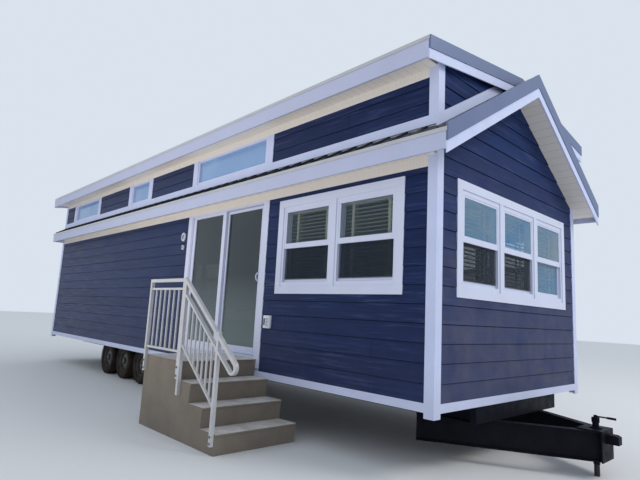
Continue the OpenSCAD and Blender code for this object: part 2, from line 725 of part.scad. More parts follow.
// Outline of a ribbed sheet l long, in x and height, with its first rib at start
module sheet_outline(l, start, count) polygon(concat([[0, 0], [0, sheet_t]],
    [for (i = [0:count - 1], p = [[-rib_w / 2, 0], [-rib_top_w / 2, rib_h], [rib_top_w / 2, rib_h], [rib_w / 2, 0]])
        [start + i * rib_pitch + p[0], sheet_t + p[1]]],
    [[l, sheet_t], [l, 0]]));
// A sheet from x0 to x1 that climbs from the eave at height z0 over a run of dy
module climbing_sheet(x0, x1, z0, dy, pitch, start, count) {
    a = atan(pitch);
    intersection() {
        translate([x0, -eave, z0]) rotate([a, 0, 0]) translate([0, (dy + 50) / cos(a), 0]) rotate([90, 0, 0])
            linear_extrude((dy + 50) / cos(a)) sheet_outline(x1 - x0, start, count);
        block([x0 - e, -eave, 0], [x1 + e, -eave + dy, z0 + 2000]);
    }
}
rake_back = gable_over - board_t;
side_roof_l = body_l - trim_t - wall_y;
side_ribs = floor((side_roof_l - rib_w) / rib_pitch);
module side_roofs() color("#4b535c") at_origin() both_sides() difference() {
    climbing_sheet(rear_x + trim_t, -wall_y, low_z, eave + wall_y, low_pitch,
        (side_roof_l - side_ribs * rib_pitch) / 2, side_ribs + 1);
    block([rear_x - e, 0, high_base], [e, body_w, up_z]);
}
module gable_roof() color("#4b535c") at_origin() both_sides()
    climbing_sheet(-wall_y, rake_back, low_z, mid_y + eave, low_pitch, wall_y + (front_over + rake_back) / 2, 1);
module lower_fascias() both_sides() {
    along_x(rear_x, rake_back) polygon([[-eave, fascia_bottom], [-eave + board_t, fascia_bottom],
        [-eave + board_t, low_roof(-eave + board_t)], [-eave, low_z]]);
    along_x(rear_x, rear_x + trim_t) polygon([[-eave, fascia_bottom], [0, fascia_bottom],
        [0, low_roof(0)], [-eave, low_z]]);
}

// Level soffits with their frieze boards, and the sloping soffit under the steep gable
soffit_meet = round((low_soffit_z + slope_drop - low_z) / low_pitch - eave);
frieze_t = 14;
module lower_soffits() both_sides() {
    block([rear_x + trim_t, -eave + board_t, low_soffit_z], [-wall_y, wall_y, low_soffit_z + soffit_t]);
    block([-wall_y, -eave + board_t, low_soffit_z], [rake_back, soffit_meet, low_soffit_z + soffit_t]);
    block([rear_x + corner_w, wall_y - frieze_t, door_top], [-corner_w, wall_y, low_soffit_z]);
}
gable_deck_t = 20;
module gable_rakes() color("#7b8496") at_origin()
    steep_band(rake_back, gable_over, rake_top, rake_top - rake_grey);

// Main roof

rear_end_x = rear_x - rear_over;
rake_front = front_over - board_t;
module main_roof_deck() color("#b08a5e") at_origin() difference() {
    flat_band(rear_end_x + board_t, rake_front, -eave + board_t, 0, -roof_t);
    under_low_roof(-wall_y, front_over + e, over_low_roof);
}
// The steep gable's boxed overhang: its deck and the sloping soffit below
module gable_overhang() color("#ded7c6") at_origin() {
    difference() {
        steep_band(-wall_y, rake_back, 0, -gable_deck_t);
        both_sides() block([-wall_y - e, -eave - e, 0], [rake_back + e, -eave + board_t, low_z + 200]);
    }
    along_x(-wall_y, rake_back) polygon([[soffit_meet, low_soffit_z], [mid_y, low_roof(mid_y) - slope_drop],
        [body_w - soffit_meet, low_soffit_z], [body_w - soffit_meet, low_soffit_z + soffit_t],
        [mid_y, low_roof(mid_y) - slope_drop + soffit_t], [soffit_meet, low_soffit_z + soffit_t]]);
}
// The sheet lies inside the edge trim, with a cap along the ridge, half a millimetre from the rakes
main_x0 = rear_end_x + board_t + 0.5;
main_x1 = rake_front - 0.5;
main_l = main_x1 - main_x0;
main_ribs = floor((main_l - rib_w) / rib_pitch);
module main_roof() color("#5a626c") at_origin() difference() {
    union() {
        both_sides() climbing_sheet(main_x0, main_x1, up_z, mid_y + eave, up_pitch,
            (main_l - main_ribs * rib_pitch) / 2, main_ribs + 1);
        along_x(main_x0, main_x1) polygon([[mid_y - 150, up_roof(mid_y - 150) + sheet_t + 2],
            [mid_y, up_roof(mid_y) + rib_h + 4], [mid_y + 150, up_roof(mid_y - 150) + sheet_t + 2],
            [mid_y, up_roof(mid_y)]]);
    }
    both_sides() block([rear_end_x, -eave - e, 0], [front_over, -eave + board_t, 2 * up_z]);
    under_low_roof(-wall_y, front_over + e, over_low_roof);
}
module fascias() color("#e6e4ee") at_origin() {
    lower_fascias();
    both_sides() along_x(rear_end_x + board_t, rake_front)
        polygon([[-eave, up_z - up_fascia_h], [-eave + board_t, up_z - up_fascia_h],
            [-eave + board_t, up_z + up_edge_top], [-eave, up_z + up_edge_top]]);
}
module upper_soffits() both_sides() {
    block([rear_x, -eave + board_t, up_soffit_z], [-wall_y, 0, up_soffit_z + soffit_t]);
    block([rear_x + corner_w, 0, up_soffit_z], [-corner_w, wall_y, up_soffit_z + soffit_t]);
    block([rear_x + corner_w, wall_y - frieze_t, high_top], [-corner_w, wall_y, up_soffit_z]);
}
// The soffit's ends, which rise with the roof beyond the end walls
module end_soffits() difference() {
    for (x = [[rear_end_x + board_t, rear_x], [-wall_y, rake_front]])
        flat_band(x[0], x[1], -eave + board_t, soffit_t - up_soffit_drop, -up_soffit_drop);
    under_low_roof(-wall_y, front_over + e, over_low_roof);
    both_sides() block([-wall_y - e, 0, high_base], [0, corner_w, up_z + 500]);
}
module soffits() color("#ded7c6") at_origin() {
    lower_soffits();
    upper_soffits();
    end_soffits();
}
module upper_rakes() color("#7b8496") at_origin() difference() {
    union() {
        flat_band(rake_front, front_over, -eave, up_edge_top, up_edge_top - up_rake_grey);
        flat_band(rear_end_x, rear_end_x + board_t, -eave, up_edge_top, up_edge_top - up_rake_grey);
    }
    under_low_roof(-wall_y, front_over + e, over_low_roof);
}
// White boards under the grey rakes, set back by a small step
rake_step = 8;
up_white_top = up_edge_top - up_rake_grey;
module rake_boards() color("#e9e7f0") at_origin() {
    steep_band(rake_back, gable_over - rake_step, rake_top - rake_grey, rake_top - rake_grey - rake_white);
    difference() {
        union() {
            flat_band(rake_front, front_over - rake_step, -eave, up_white_top, up_white_top - up_rake_white);
            flat_band(rear_end_x + rake_step, rear_end_x + board_t, -eave, up_white_top,
                up_white_top - up_rake_white);
        }
        under_low_roof(-wall_y, front_over + e, over_low_roof);
    }
}

// Entry steps: one moulded shell, open below

riser = floor_z / 4;
shell_t = 70;
platform_x = -steps_x - 3 * tread;
steps_rear = platform_x - platform_l;
nose_r = 14;
lean = 22;          // the risers lean back under the rounded nosings by this much
function flight_x(i) = platform_x + i * tread;
function flight_z(i) = (4 - i) * riser;
function nosing(i) = [for (a = [90:-15:-75])
    [flight_x(i) - nose_r + nose_r * cos(a), flight_z(i) - nose_r + nose_r * sin(a)]];
module steps_side() polygon(concat([[steps_rear, 0], [steps_rear, flight_z(0)]],
    [for (i = [0:3], p = concat(nosing(i), [[flight_x(i) - lean, flight_z(i + 1)]])) p]));
module steps_hollow() polygon(concat([[steps_rear + shell_t, 0], [steps_rear + shell_t, flight_z(0) - shell_t]],
    [for (i = [0:3], p = [[flight_x(i) - shell_t, flight_z(i) - shell_t],
        [flight_x(i) - shell_t, i < 3 ? flight_z(i + 1) - shell_t : 0]]) p]));
module entry_steps() color("#a39a89") at_origin() difference() {
    along_y(-steps_w, 0) steps_side();
    translate([0, 0, -e]) along_y(-steps_w + shell_t, -shell_t) steps_hollow();
}

// Rails of square tube, bolted to the outer side of the steps
rail_y0 = -steps_w - tube;
picket = 16;
rail_top = floor_z + rail_h;
post_rear = steps_rear + 20;
post_front = platform_x - 25;
module upright(x, z0, z1, t) block([x, rail_y0 + (tube - t) / 2, z0], [x + t, rail_y0 + (tube + t) / 2, z1]);
module post(x, z0, z1) block([x, rail_y0, z0], [x + tube, rail_y0 + tube, z1]);
module level_tube(x0, x1, z, t) block([x0, rail_y0 + (tube - t) / 2, z], [x1, rail_y0 + (tube + t) / 2, z + t]);
bottom_rail_z = floor_z + 90;
second_rail_z = rail_top - 130;
picket_count = 7;
module platform_rail() color("#b9bcc0") at_origin() {
    level_tube(post_rear, post_front + tube, rail_top - tube, tube);
    level_tube(post_rear, post_front + tube, second_rail_z, 25);
    level_tube(post_rear, post_front + tube, bottom_rail_z, 25);
    post(post_rear, floor_z - 190, rail_top);
    post(post_front, floor_z - 190, rail_top);
    for (i = [1:picket_count - 1])
        upright(post_rear + tube + i * (post_front - post_rear - tube) / picket_count - picket / 2,
            bottom_rail_z, second_rail_z + 25, picket);
}
stair_post = post_front + tube;
low_post = -steps_x - 60;
rail_slope = riser / tread;
hand_drop = 20;
function hand_z(x) = rail_top - hand_drop - (x - stair_post - tube) * rail_slope;
module sloped_tube(x0, x1, lift, t) along_y(rail_y0 + (tube - t) / 2, rail_y0 + (tube + t) / 2)
    polygon([[x0, hand_z(x0) + lift], [x1, hand_z(x1) + lift], [x1, hand_z(x1) + lift - t * 1.25],
        [x0, hand_z(x0) + lift - t * 1.25]]);
stair_low_lift = -700;
stair_second_lift = -150;
hand_end = low_post + 340;
hand_l = 1500;
loop_d = 145;       // the handrail turns back into the second rail in a loop of this width
second_t = 25;
loop_gap = loop_d - tube - second_t;
// Handrail, loop and second rail as one bent bar, in x and height
module hand_loop() intersection() {
    translate([hand_end, hand_z(hand_end)]) rotate(-atan(rail_slope)) {
        translate([-hand_l, -tube]) square([hand_l, tube]);
        translate([-hand_l, -loop_d]) square([hand_l, second_t]);
        difference() {
            translate([0, -loop_d / 2]) circle(d = loop_d, $fn = 48);
            translate([0, -tube - loop_gap / 2]) circle(d = loop_gap, $fn = 48);
            translate([-loop_d, -loop_d - e]) square([loop_d, loop_d + 2 * e]);
        }
    }
    translate([stair_post, 0]) square([hand_l, 3 * riser + rail_top]);
}
module stair_rail() color("#b9bcc0") at_origin() {
    post(stair_post, 3 * riser - 150, hand_z(stair_post + tube));
    post(low_post, 90, hand_z(low_post));
    along_y(rail_y0, rail_y0 + tube) hand_loop();
    sloped_tube(stair_post, low_post + tube, stair_low_lift, 25);
    for (i = [1:picket_count]) {
        x = stair_post + tube + i * (low_post - stair_post - tube) / (picket_count + 1);
        upright(x - picket / 2, hand_z(x) + stair_low_lift - 20, hand_z(x) + stair_second_lift - 8, picket);
    }
}

// Small fittings on the door side

light_gap = 131;
light_x = door_x + door_w + door_casing_w + light_gap;
light_z = 2530;
bell_z = 2360;
module wall_lights() color("#e4e6ea") at_origin() {
    translate([-light_x, wall_y, light_z]) rotate([90, 0, 0]) {
        cylinder(d = 150, h = 26, $fn = 64);
        translate([0, 0, 26]) cylinder(d1 = 120, d2 = 80, h = 24, $fn = 64);
    }
    translate([-light_x, wall_y, bell_z]) rotate([90, 0, 0]) {
        cylinder(d = 92, h = 24, $fn = 48);
        translate([0, 0, 24]) cylinder(d1 = 80, d2 = 50, h = 16, $fn = 48);
    }
}
outlet_l = 190;
outlet_gap = 18;
outlet_x = door_x - door_casing_w - outlet_l - outlet_gap;
outlet_z = 1204;
module outlet_box() color("#dfe1e6") at_origin() difference() {
    block([-outlet_x - outlet_l, wall_y - 60, outlet_z], [-outlet_x, wall_y, outlet_z + 160]);
    block([-outlet_x - outlet_l + 18, wall_y - 60 - e, outlet_z + 18], [-outlet_x - 18, wall_y - 42, outlet_z + 142]);
}

main_beams();
cross_members();
drawbar();
coupler();
jack_tube();
jack_leg();
jack_crank();
axles();
leaf_springs();
wheel_door_1();
wheel_door_2();
wheel_door_3();
wheel_far_1();
wheel_far_2();
wheel_far_3();
floor_deck();
room_floor();
bottom_band();
front_wall();
rear_wall();
door_wall_front();
door_wall_rear();
wall_over_door();
far_wall();
corner_boards();
front_window();
side_window();
far_windows();
rear_window();
window_glass();
window_screens();
window_blinds();
high_trim();
high_glass();
door_frame();
fixed_door_panel();
fixed_door_glass();
sliding_door_panel();
sliding_door_glass();
side_roofs();
gable_roof();
main_roof();
main_roof_deck();
gable_overhang();
fascias();
soffits();
gable_rakes();
upper_rakes();
rake_boards();
entry_steps();
platform_rail();
stair_rail();
wall_lights();
outlet_box();
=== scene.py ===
import math
import random

import bpy
import bmesh
from mathutils import Matrix, Vector


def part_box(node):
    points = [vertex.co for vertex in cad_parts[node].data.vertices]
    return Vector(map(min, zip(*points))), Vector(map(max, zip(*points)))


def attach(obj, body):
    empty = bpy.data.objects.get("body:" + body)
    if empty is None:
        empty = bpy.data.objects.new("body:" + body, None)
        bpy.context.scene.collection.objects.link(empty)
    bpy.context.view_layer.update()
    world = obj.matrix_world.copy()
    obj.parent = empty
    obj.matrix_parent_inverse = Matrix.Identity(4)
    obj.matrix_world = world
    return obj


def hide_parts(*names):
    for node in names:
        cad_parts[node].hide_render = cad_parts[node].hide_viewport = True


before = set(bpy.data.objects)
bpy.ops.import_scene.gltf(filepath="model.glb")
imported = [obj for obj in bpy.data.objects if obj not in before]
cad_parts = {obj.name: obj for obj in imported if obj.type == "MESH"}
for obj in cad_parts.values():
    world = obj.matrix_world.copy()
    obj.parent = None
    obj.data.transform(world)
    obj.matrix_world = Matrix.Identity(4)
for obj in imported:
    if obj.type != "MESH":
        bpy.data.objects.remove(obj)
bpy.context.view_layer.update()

band_low, band_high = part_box("bottom_band")
body_l, body_w = band_high.x - band_low.x, band_high.y - band_low.y


def house(x, y, z):
    return Vector((band_high.x + x, band_low.y + y, z))


turn = Vector((1.31436469, 0.60803332, -0.62745808))
to_camera = Matrix.Rotation(turn.length, 3, turn.normalized())
lens = bpy.data.cameras.new("camera")
lens.lens, lens.sensor_width = 27.635, 36.0
lens.clip_start, lens.clip_end = 0.05, 200
camera = bpy.data.objects.new("camera", lens)
camera.rotation_mode = "QUATERNION"
camera_axes = Matrix((to_camera[0], -to_camera[1], -to_camera[2])).transposed()
camera.rotation_quaternion = camera_axes.to_quaternion()
camera.location = house(2.472, -3.783, 1.394)
bpy.context.scene.collection.objects.link(camera)
bpy.context.scene.camera = camera

# The chassis: two steel I beams with a header, cross members and outriggers, all welded and
# sprayed satin black. Road dust lies on what is close to the ground.


class Coat:
    """A material's node tree, built from the outside in: colour, mottle, dust, grain, gloss."""

    def __init__(self, name, colour, rough, metal=0.0):
        self.material = bpy.data.materials.new(name)
        self.material.use_nodes = True
        self.tree = self.material.node_tree
        self.shader = self.tree.nodes["Principled BSDF"]
        self.base = (*colour, 1)
        self.fix("Base Color", self.base).fix("Roughness", rough).fix("Metallic", metal)
        self.place = self.add("ShaderNodeTexCoord").outputs["Object"]
        self.colour, self.height = None, None

    def fix(self, name, value):
        """Sets a value that is the same all over the surface."""
        self.shader.inputs[name].default_value = value
        return self

    def add(self, kind, **settings):
        node = self.tree.nodes.new(kind)
        for key, value in settings.items():
            if key in node.inputs:
                node.inputs[key].default_value = value
            else:
                setattr(node, key, value)
        return node

    def join(self, out, into):
        self.tree.links.new(out, into)

    def scaled(self, stretch):
        node = self.add("ShaderNodeMapping", Scale=stretch)
        self.join(self.place, node.inputs["Vector"])
        return node.outputs["Vector"]

    def noise(self, scale, detail=4.0, rough=0.55, stretch=(1, 1, 1)):
        node = self.add("ShaderNodeTexNoise", Scale=scale, Detail=detail, Roughness=rough)
        self.join(self.scaled(stretch), node.inputs["Vector"])
        return node.outputs["Fac"]

    def ramp(self, fac, low, high, a=0.0, b=1.0):
        """Maps low..high to a..b, and no further."""
        node = self.add("ShaderNodeMapRange")
        for key, value in (("From Min", low), ("From Max", high), ("To Min", a), ("To Max", b)):
            node.inputs[key].default_value = value
        self.join(fac, node.inputs["Value"])
        return node.outputs["Result"]

    def times(self, a, b, kind="MULTIPLY"):
        node = self.add("ShaderNodeMath", operation=kind)
        for i, value in enumerate((a, b)):
            if isinstance(value, (int, float)):
                node.inputs[i].default_value = value
            else:
                self.join(value, node.inputs[i])
        return node.outputs[0]

    def tint(self, colour, fac):
        """Lays another colour over what is there, as far as fac says."""
        node = self.add("ShaderNodeMix", data_type="RGBA")
        below, above, result = node.inputs[6], node.inputs[7], node.outputs[2]
        if self.colour is None:
            below.default_value = self.base
        else:
            self.join(self.colour, below)
        above.default_value = (*colour, 1)
        self.join(fac, node.inputs[0])
        self.colour = result
        self.join(self.colour, self.shader.inputs["Base Color"])
        return self

    def mottle(self, colour, scale, amount=1.0, **noise):
        return self.tint(colour, self.ramp(self.noise(scale, **noise), 0.35, 0.7, 0, amount))

    def gloss(self, fac, a, b):
        self.join(self.ramp(fac, 0.3, 0.7, a, b), self.shader.inputs["Roughness"])
        return self

    def bump(self, fac, depth, strength=1.0):
        node = self.add("ShaderNodeBump", Distance=depth, Strength=strength)
        self.join(fac, node.inputs["Height"])
        if self.height is not None:
            self.join(self.height, node.inputs["Normal"])
        self.height = node.outputs["Normal"]
        self.join(self.height, self.shader.inputs["Normal"])
        return self

    def split(self):
        """The place's x, y and z."""
        node = self.add("ShaderNodeSeparateXYZ")
        self.join(self.place, node.inputs[0])
        return node.outputs

    def stripes(self, axis, pitch, share):
        """1 in a narrow line every so far along an axis, else 0."""
        part = self.times(self.times(self.split()[axis], 1 / pitch), 0.0, "FRACT")
        return self.times(part, share, "LESS_THAN")

    def facing_up(self):
        shape = self.add("ShaderNodeNewGeometry")
        node = self.add("ShaderNodeSeparateXYZ")
        self.join(shape.outputs["Normal"], node.inputs[0])
        return node.outputs[2]

    def dust_and_sheen(self, colour, low, high, amount):
        """Dust that thins out between two heights, in drifts; on the front siding it is dust with
        painted sky sheen.
        """
        drift = self.ramp(self.noise(3.5, detail=6), 0.3, 0.7, 0.4, 1.0)
        return self.tint(colour, self.times(self.ramp(self.split()[2], low, high, amount, 0), drift))


def dress(coat, *names):
    for name in names:
        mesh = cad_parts[name].data
        mesh.materials.clear()
        mesh.materials.append(coat.material)


beam_coat = Coat("black_chassis_paint", (0.003, 0.004, 0.009), 0.42)
beam_coat.mottle((0.007, 0.008, 0.013), 6, 0.8).dust_and_sheen((0.04, 0.034, 0.03), 0.1, 0.7, 0.14)
beam_coat.gloss(beam_coat.noise(9), 0.42, 0.65).bump(beam_coat.noise(60, detail=5), 0.0006)
beam_coat.fix("Specular IOR Level", 0.08)
dress(beam_coat, "main_beams", "cross_members", "drawbar", "coupler", "jack_tube", "jack_crank",
      "axles", "leaf_springs")

leg_coat = Coat("dull_jack_leg", (0.030, 0.032, 0.040), 0.35, metal=0.7)
leg_coat.mottle((0.05, 0.04, 0.035), 14, 0.7).gloss(leg_coat.noise(20), 0.25, 0.5)
dress(leg_coat, "jack_leg")

# Six road wheels on three axles: radial tyres with shoulder blocks and ribs, browned with dust
# from the yard, on pressed rims. Each turns with its own body.


class Shape:
    """Mesh under construction in house coordinates; settle() turns it into a piece."""

    def __init__(self, bm=None):
        self.bm = bmesh.new() if bm is None else bm

    def ease(self, verts, edge, steps=1):
        """Eases the edges at these vertices and gives back the faces made."""
        edges = list(dict.fromkeys(e for v in verts for e in v.link_edges))
        return bmesh.ops.bevel(self.bm, geom=edges, offset=edge, segments=steps, profile=0.7,
                               affect="EDGES")["faces"]

    def block(self, low, high, edge=0.0015, turned=None, steps=1):
        low, high = Vector(low), Vector(high)
        made = bmesh.ops.create_cube(self.bm, size=1.0)["verts"]
        bmesh.ops.scale(self.bm, vec=high - low, verts=made)
        if edge:
            eased = [v for f in self.ease(made, edge, steps) for v in f.verts]
            made = list(dict.fromkeys(eased + [v for v in made if v.is_valid]))
        if turned is not None:
            bmesh.ops.rotate(self.bm, cent=(0, 0, 0), matrix=turned, verts=made)
        bmesh.ops.translate(self.bm, vec=(low + high) / 2, verts=made)

    def prism(self, outline, axis, start, end, edge=0.0):
        """An outline drawn in the two other axes, from start to end along x or y."""
        order = {"x": lambda t, a, b: (t, a, b), "y": lambda t, a, b: (a, t, b)}[axis]
        near = [self.bm.verts.new(order(start, a, b)) for a, b in outline]
        far = [self.bm.verts.new(order(end, a, b)) for a, b in outline]
        count = len(outline)
        faces = [self.bm.faces.new(near), self.bm.faces.new(far[::-1])]
        for i in range(count):
            j = (i + 1) % count
            faces.append(self.bm.faces.new((near[i], far[i], far[j], near[j])))
        bmesh.ops.recalc_face_normals(self.bm, faces=faces)
        if edge:
            self.ease(near + far, edge)

    def lathe(self, outline, centre, around=48):
        """A closed half-section (radius, distance along y) turned about the y axis."""
        centre = Vector(centre)
        rings = []
        for k in range(around):
            t = 2 * math.pi * k / around
            out = Vector((math.cos(t), 0, math.sin(t)))
            rings.append([self.bm.verts.new(centre + out * r + Vector((0, d, 0))) for r, d in outline])
        faces = []
        for k in range(around):
            a, b = rings[k], rings[(k + 1) % around]
            for i in range(len(outline)):
                j = (i + 1) % len(outline)
                faces.append(self.bm.faces.new((a[i], b[i], b[j], a[j])))
        bmesh.ops.remove_doubles(self.bm, verts=[v for ring in rings for v in ring], dist=1e-6)
        bmesh.ops.recalc_face_normals(self.bm, faces=[f for f in faces if f.is_valid])

    def rod(self, start, end, radius, around=20):
        start, end = Vector(start), Vector(end)
        made = bmesh.ops.create_cone(self.bm, cap_ends=True, cap_tris=False, segments=around,
                                     radius1=radius, radius2=radius,
                                     depth=(end - start).length)["verts"]
        aim = (end - start).to_track_quat("Z", "Y").to_matrix()
        bmesh.ops.rotate(self.bm, cent=(0, 0, 0), matrix=aim, verts=made)
        bmesh.ops.translate(self.bm, vec=(start + end) / 2, verts=made)

    def mirrored(self):
        """Adds the same on the far side."""
        everything = self.bm.verts[:] + self.bm.edges[:] + self.bm.faces[:]
        copy = bmesh.ops.duplicate(self.bm, geom=everything)["geom"]
        for part in copy:
            if isinstance(part, bmesh.types.BMVert):
                part.co.y = body_w - part.co.y
        faces = [part for part in copy if isinstance(part, bmesh.types.BMFace)]
        bmesh.ops.reverse_faces(self.bm, faces=faces)

    def settle(self, name, coat, slot, body="house", stands_for=(), smooth=35):
        for v in self.bm.verts:
            v.co = house(*v.co)
        mesh = bpy.data.meshes.new(name)
        self.bm.to_mesh(mesh)
        self.bm.free()
        mesh.polygons.foreach_set("use_smooth", [True] * len(mesh.polygons))
        mesh.set_sharp_from_angle(angle=math.radians(smooth))
        mesh.materials.append(coat.material)
        piece = bpy.data.objects.new(name, mesh)
        bpy.context.scene.collection.objects.link(piece)
        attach(piece, body)
        if stands_for:
            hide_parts(*stands_for)


tyre_r, tyre_w, rim_r = 0.330, 0.210, 0.190
first_axle, axle_pitch, wheel_y = -6.4, 0.79, 0.250
tyre_coat = Coat("dusty_tyre", (0.014, 0.012, 0.011), 0.9).fix("Specular IOR Level", 0.2)
tyre_coat.mottle((0.05, 0.037, 0.026), 7, 0.9, detail=7).bump(tyre_coat.noise(150), 0.0008)
rim_coat = Coat("dusty_rim", (0.10, 0.095, 0.09), 0.5, metal=0.3)
rim_coat.mottle((0.05, 0.04, 0.03), 9, 0.8)

# Half-sections as radius and depth from the outer side: a wall and shoulder of the tyre, with
# its ribs between two of them, and the rim with its dished disc
shoulder = [(rim_r, 0.024), (rim_r + 0.015, 0.014), (rim_r + 0.06, 0.002), (tyre_r - 0.05, 0.0),
            (tyre_r - 0.018, 0.010), (tyre_r - 0.004, 0.028)]
rib_depth = 0.007
tyre_section = list(shoulder)
for rib in (0.045, 0.075, 0.105, 0.135, 0.165):
    tyre_section += [(tyre_r, rib - 0.012), (tyre_r, rib + 0.010),
                     (tyre_r - rib_depth, rib + 0.012), (tyre_r - rib_depth, rib + 0.016)]
tyre_section += [(r, tyre_w - d) for r, d in shoulder[::-1]]
rim_section = [(rim_r - 0.001, 0.020), (rim_r - 0.001, 0.190), (rim_r - 0.014, 0.190),
               (rim_r - 0.026, 0.150), (rim_r - 0.026, 0.085), (0.150, 0.078), (0.115, 0.060),
               (0.085, 0.052), (0.060, 0.058), (0.034, 0.062), (0.034, 0.024), (0.0, 0.020),
               (0.0, 0.016), (0.038, 0.018), (0.042, 0.050), (0.085, 0.044), (0.115, 0.050),
               (0.150, 0.066), (rim_r - 0.022, 0.070), (rim_r - 0.018, 0.030), (rim_r - 0.010, 0.016)]
tread_count, tread_r, tread_half = 72, tyre_r - 0.016, Vector((0.008, 0.010, 0.007))
bolt_count, bolt_circle, bolt_r = 6, 0.063, 0.011


def around_hub(x, y, radius, t):
    return Vector((x + radius * math.cos(t), y, tyre_r + radius * math.sin(t)))


def road_wheel(name, x, far):
    y = body_w - wheel_y if far else wheel_y
    inward = -1 if far else 1
    rubber = Shape()
    rubber.lathe([(r, inward * d) for r, d in tyre_section], (x, y, tyre_r), around=tread_count)
    for k in range(tread_count):
        t = 2 * math.pi * (k + 0.5) / tread_count
        for d in (0.012, tyre_w - 0.012):
            middle = around_hub(x, y + inward * d, tread_r, t)
            rubber.block(middle - tread_half, middle + tread_half, edge=0,
                         turned=Matrix.Rotation(-t, 3, "Y"))
    rubber.settle(name + "_tyre", tyre_coat, "tyre", body=name + "_body")
    disc = Shape()
    disc.lathe([(r, inward * d) for r, d in rim_section], (x, y, tyre_r), around=64)
    for k in range(bolt_count):
        t = 2 * math.pi * k / bolt_count
        disc.rod(around_hub(x, y + inward * 0.046, bolt_circle, t),
                 around_hub(x, y + inward * 0.028, bolt_circle, t), bolt_r, around=6)
    disc.settle(name + "_rim", rim_coat, "tyre", body=name + "_body", stands_for=(name,))


for side in ("door", "far"):
    for i in range(3):
        road_wheel(f"wheel_{side}_{i + 1}", first_axle - axle_pitch * i, side == "far")

# The floor deck on the chassis, with a white board band round its edge and painted shade, near black,
# on its downward faces.
# Its top is laid with planks, which show through the open door and the glass.
floor_coat = Coat("floor_planks", (0.30, 0.20, 0.12), 0.55)
floor_coat.mottle((0.20, 0.13, 0.075), 3, 0.9, stretch=(0.4, 6, 1), detail=8)
dress(floor_coat, "room_floor")
deck_coat = Coat("deck_edge_paint", (0.50, 0.53, 0.66), 0.6).mottle((0.44, 0.47, 0.58), 4, 0.6)
# Faces that turn down are painted near black: painted shade under the deck
deck_coat.tint((0.02, 0.021, 0.024), deck_coat.ramp(deck_coat.facing_up(), -0.5, -0.9, 0, 1))
dress(deck_coat, "floor_deck")
trim_coat = Coat("white_trim_paint", (0.57, 0.62, 0.84), 0.55)
trim_coat.mottle((0.51, 0.56, 0.76), 5, 0.6).dust_and_sheen((0.35, 0.31, 0.27), 0.55, 0.95, 0.3)
trim_coat.bump(trim_coat.noise(35, detail=6, stretch=(1, 1, 0.2)), 0.0004)
dress(trim_coat, "bottom_band", "corner_boards", "high_trim", "rake_boards")

# The walls: timber frames lined inside with white panel, and lapped outside with navy boards of
# engineered wood. Each course laps the one below with a painted shadow line; the boards are butted.
lining_coat = Coat("wall_lining", (0.62, 0.60, 0.56), 0.7)
lining_coat.mottle((0.55, 0.53, 0.5), 2, 0.5).bump(lining_coat.noise(80), 0.0003)
dress(lining_coat, "front_wall", "rear_wall", "door_wall_front", "door_wall_rear",
      "wall_over_door", "far_wall")

# Each board has a tone of its own, 0 to 1, and the near-black strip above it, a painted shadow line,
# has this one
shadow_strip_tone = -1.0


def siding_coat(name, colour, gloss, sheen, dust_and_sheen):
    """Navy paint on pressed wood grain: lighter and darker boards, pale streaks, dust low down (on the
    front also painted sky sheen), and near-black painted shadow strips.
    """
    coat = Coat(name, colour, 0.55)
    coat.fix("Specular IOR Level", gloss).fix("Specular Tint", (0.30, 0.45, 1.0, 1))
    coat.fix("Sheen Weight", sheen).fix("Sheen Tint", (0.6, 0.68, 1.0, 1))
    tone = coat.add("ShaderNodeAttribute", attribute_name="board").outputs["Fac"]
    coat.tint([1.5 * c for c in colour], coat.ramp(tone, 0, 1, 0, 0.8))
    grain = coat.noise(30, detail=6, rough=0.6, stretch=(0.055, 0.055, 1))
    patch = coat.noise(2.2, detail=5, stretch=(0.5, 0.5, 1))
    coat.tint([0.57 * c for c in colour], coat.ramp(grain, 0.35, 0.6, 0.7, 0))
    coat.dust_and_sheen(*dust_and_sheen)
    streaks = coat.times(coat.ramp(grain, 0.53, 0.64, 0, 0.45), coat.ramp(patch, 0.4, 0.65, 0.1, 1.0))
    coat.tint((0.075, 0.090, 0.150), streaks)
    # Near black on the strips between the courses: painted shadow under each lap
    coat.tint((0.001, 0.002, 0.006), coat.ramp(tone, shadow_strip_tone, -0.5, 1, 0))
    return coat.gloss(grain, 0.36, 0.65).bump(grain, 0.004)


board_coat = siding_coat("navy_lap_siding", (0.0075, 0.016, 0.062), 0.26, 0.12,
                         ((0.11, 0.10, 0.12), 0.6, 1.9, 0.16))
# The front boards' navy is a lighter copy, and their blue-grey tint fading upwards is dust with painted
# sky sheen
front_coat = siding_coat("front_siding_dust_and_sheen", (0.013, 0.028, 0.100), 0.05, 0.0,
                         ((0.088, 0.090, 0.135), 1.2, 3.5, 0.88))

# A board's face stands lap_out off the wall at its upper edge and lap_rise more at its foot.
# Above each board stands a near-black strip, a painted shadow under the next course's lap. The board's
# ends have a fine gap to the next board
course, first_course, lap_gap = 0.176, 0.671, 0.006
lap_out, lap_rise, shadow_strip_out, board_back = 0.0095, 0.009, 0.003, 0.0005
board_l, end_gap, shortest, thinnest, tiny = 3.66, 0.0012, 0.15, 0.004, 1e-6
wall_face, corner_w = 0.022, 0.105


